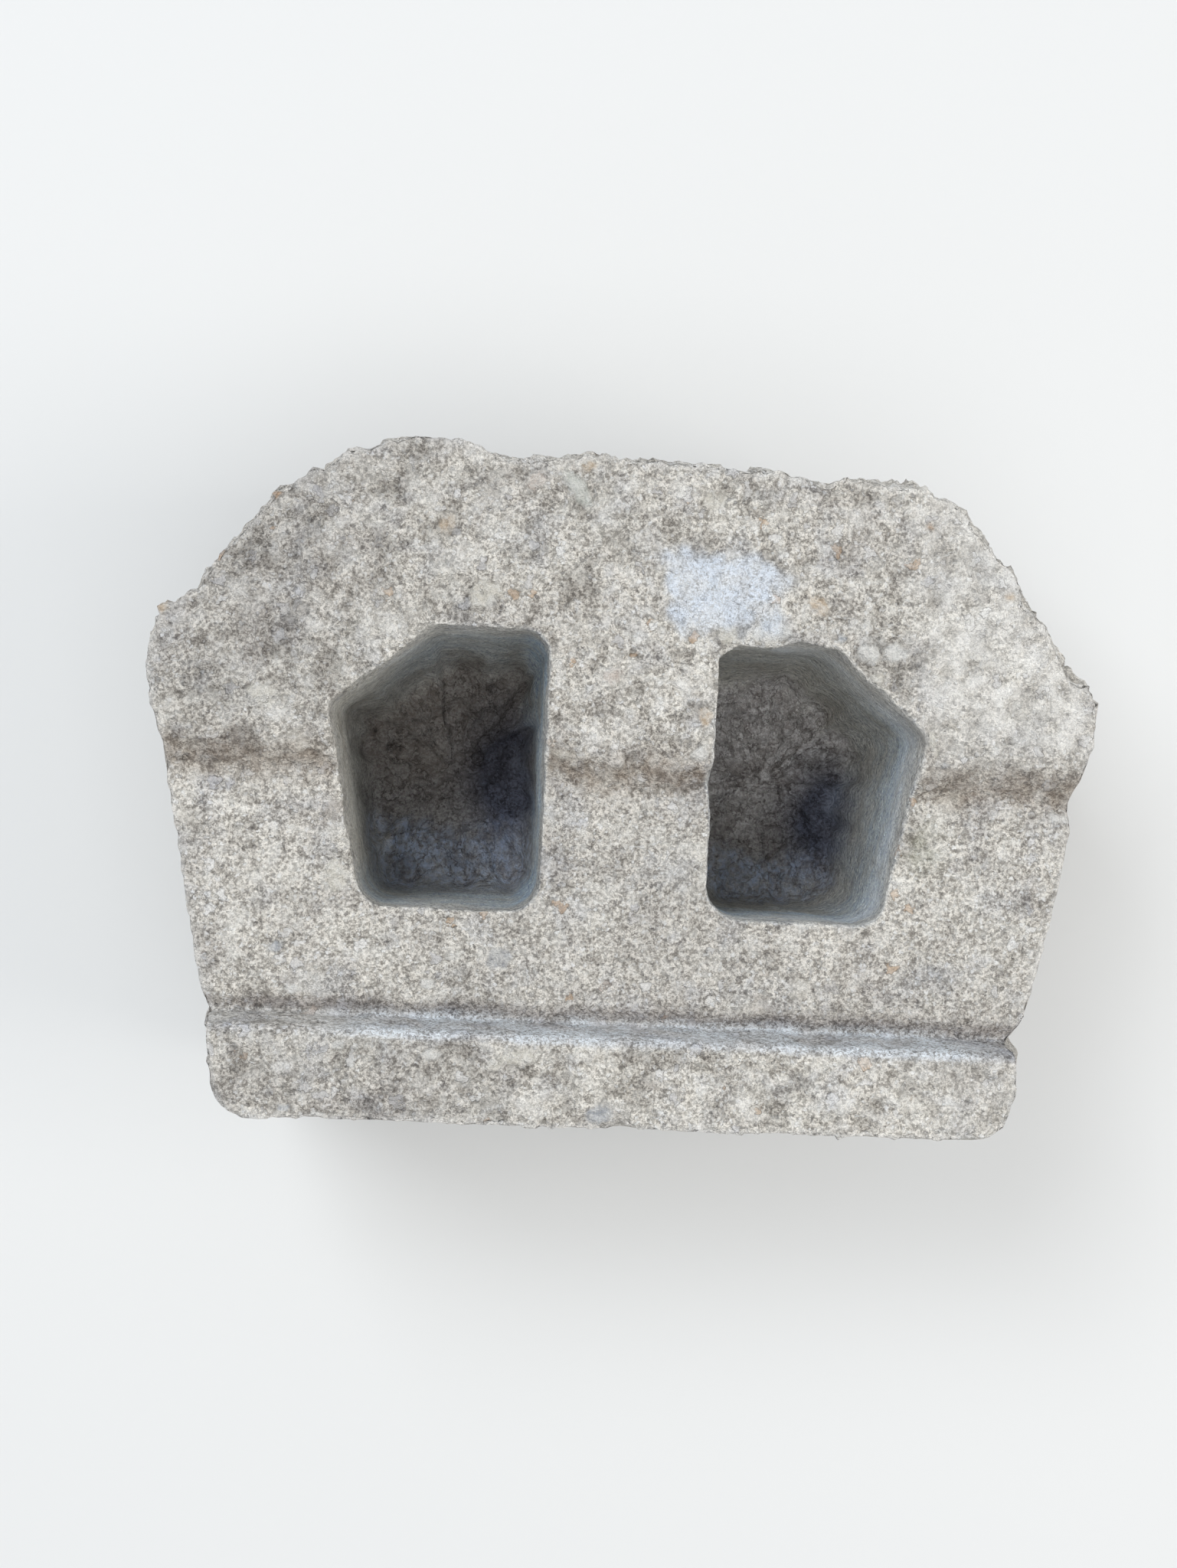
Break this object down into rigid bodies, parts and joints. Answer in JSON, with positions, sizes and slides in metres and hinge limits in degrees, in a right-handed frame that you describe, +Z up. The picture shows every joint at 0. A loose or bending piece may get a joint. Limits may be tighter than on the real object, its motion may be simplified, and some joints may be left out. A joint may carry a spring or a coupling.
{
  "type": "concrete retaining wall block",
  "caption": "Garden retaining wall block of cast concrete with a split three-plane face, tapered sides, blind cores and a rear locating lip.",
  "frame": {"origin": "centre of the bounding box at the level of the flat base that the block lies on", "axes": "+X along the width of the block, +Y from the split face towards the rear lip, +Z up out of the open cores, with the block lying lip upwards"},
  "size_m": [0.29, 0.2042, 0.1412],
  "materials": {
    "concrete": "rough dry-cast concrete, warm light grey, with pale and tan stones showing"
  },
  "bodies": {
    "root": {"retaining_block": "concrete"}
  },
  "joints": []
}
